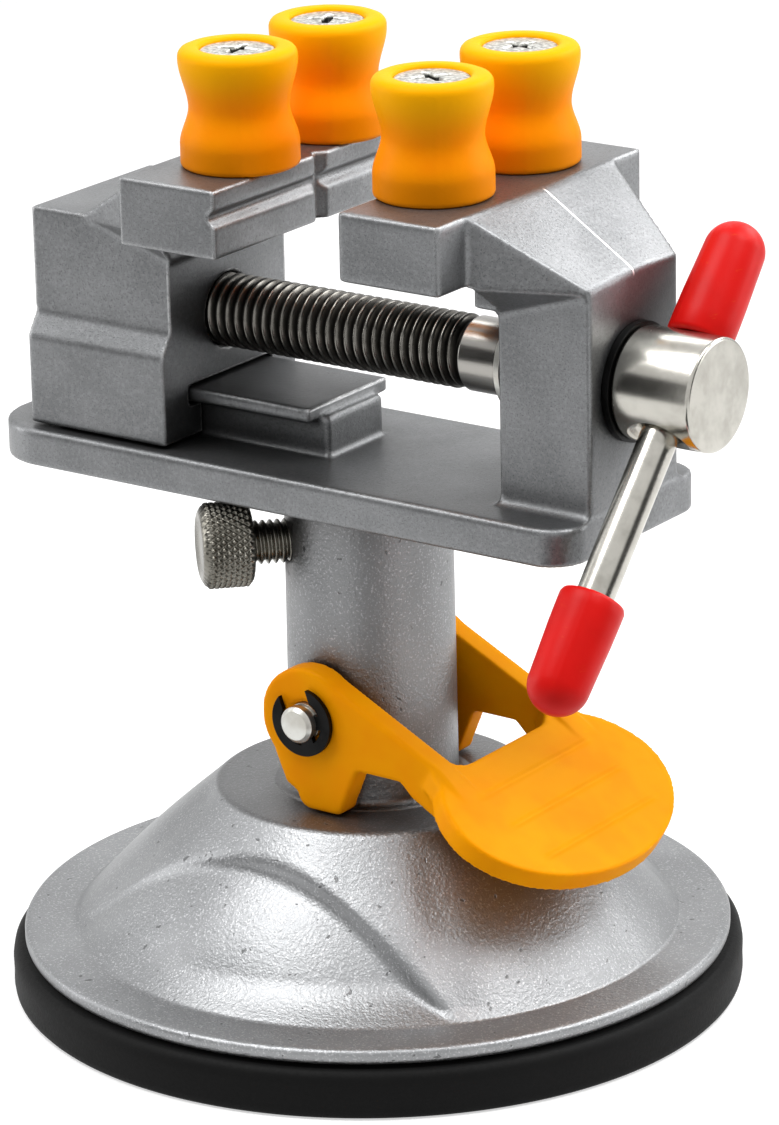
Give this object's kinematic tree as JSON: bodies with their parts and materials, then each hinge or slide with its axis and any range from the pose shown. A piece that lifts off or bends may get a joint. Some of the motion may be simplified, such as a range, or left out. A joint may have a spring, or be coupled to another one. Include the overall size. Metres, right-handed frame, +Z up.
{
  "type": "suction base vise",
  "caption": "Small bench vise with waisted holding pegs on a swivelling post, held to the bench by a lever-operated suction cup",
  "frame": {"origin": "Middle of the ring on which the rubber cup stands, on the post's axis", "axes": "+Z up along the post; the lead screw lies along X with its handle at +X; the jaws are wide along Y"},
  "size_m": [0.1076, 0.1, 0.1304],
  "materials": {
    "rubber": "matte",
    "painted_base": "silver sand texture",
    "cast_metal": "satin die cast",
    "screw_steel": "dark nickel",
    "bright_steel": "polished",
    "zinc_steel": "zinc plated",
    "black_steel": "black oxide",
    "yellow_plastic": "satin",
    "red_plastic": "satin",
    "white_plastic": "matte"
  },
  "bodies": {
    "base": {"suction_base": "painted_base", "suction_cup": "rubber"},
    "plunger": {"pull_stem": "zinc_steel", "lever_axle": "zinc_steel", "axle_clip_front": "black_steel", "axle_clip_back": "black_steel"},
    "lever": {"cam_lever": "yellow_plastic"},
    "lock_slug": {"lock_tip": "white_plastic"},
    "thumb_screw": {"lock_screw": "zinc_steel"},
    "head": {"vise_head": "cast_metal", "peg_fixed_front": "yellow_plastic", "peg_fixed_back": "yellow_plastic", "peg_screw_fixed_front": "zinc_steel", "peg_screw_fixed_back": "zinc_steel"},
    "jaw": {"moving_jaw": "cast_metal", "peg_moving_front": "yellow_plastic", "peg_moving_back": "yellow_plastic", "peg_screw_moving_front": "zinc_steel", "peg_screw_moving_back": "zinc_steel"},
    "screw": {"lead_screw": "screw_steel", "retaining_ring": "zinc_steel", "thrust_washer": "black_steel", "handle_hub": "bright_steel"},
    "bar": {"tommy_bar": "bright_steel", "cap_upper": "red_plastic", "cap_lower": "red_plastic"}
  },
  "joints": [
    {"name": "plunger_drop", "type": "slide", "parent": "base", "child": "plunger", "axis": [0, 0, -1], "range_m": [0, 0.002], "deforming": ["suction_cup"]},
    {"name": "lever_lift", "type": "hinge", "parent": "plunger", "child": "lever", "pos_m": [0, 0, 0.04125], "axis": [0, -1, 0], "range_deg": [0, 60]},
    {"name": "lock_back_out", "type": "slide", "parent": "base", "child": "lock_slug", "axis": [-0.7071, -0.7071, 0], "range_m": [0, 0.00201]},
    {"name": "lock_turn", "type": "hinge", "parent": "lock_slug", "child": "thumb_screw", "pos_m": [-0.012, -0.012, 0.063], "axis": [-0.7071, -0.7071, 0], "range_deg": [0, 720]},
    {"name": "head_swivel", "type": "hinge", "parent": "base", "child": "head", "pos_m": [0, 0, 0.0693], "axis": [0, 0, 1], "continuous": true},
    {"name": "jaw_travel", "type": "slide", "parent": "head", "child": "jaw", "axis": [1, 0, 0], "range_m": [-0.006, 0.0145]},
    {"name": "screw_turn", "type": "hinge", "parent": "head", "child": "screw", "pos_m": [0.0353, 0, 0.09105], "axis": [-1, 0, 0], "range_deg": [-1440, 3480]},
    {"name": "bar_slide", "type": "slide", "parent": "screw", "child": "bar", "axis": [0, 0.6691, 0.7431], "range_m": [0, 0.022]}
  ],
  "couplings": [
    {"joint": "lever_lift", "follows": "plunger_drop", "rad_per_m": 523.5},
    {"joint": "lock_back_out", "follows": "lock_turn", "m_per_rad": 0.00015915},
    {"joint": "screw_turn", "follows": "jaw_travel", "rad_per_m": 4188.8}
  ]
}
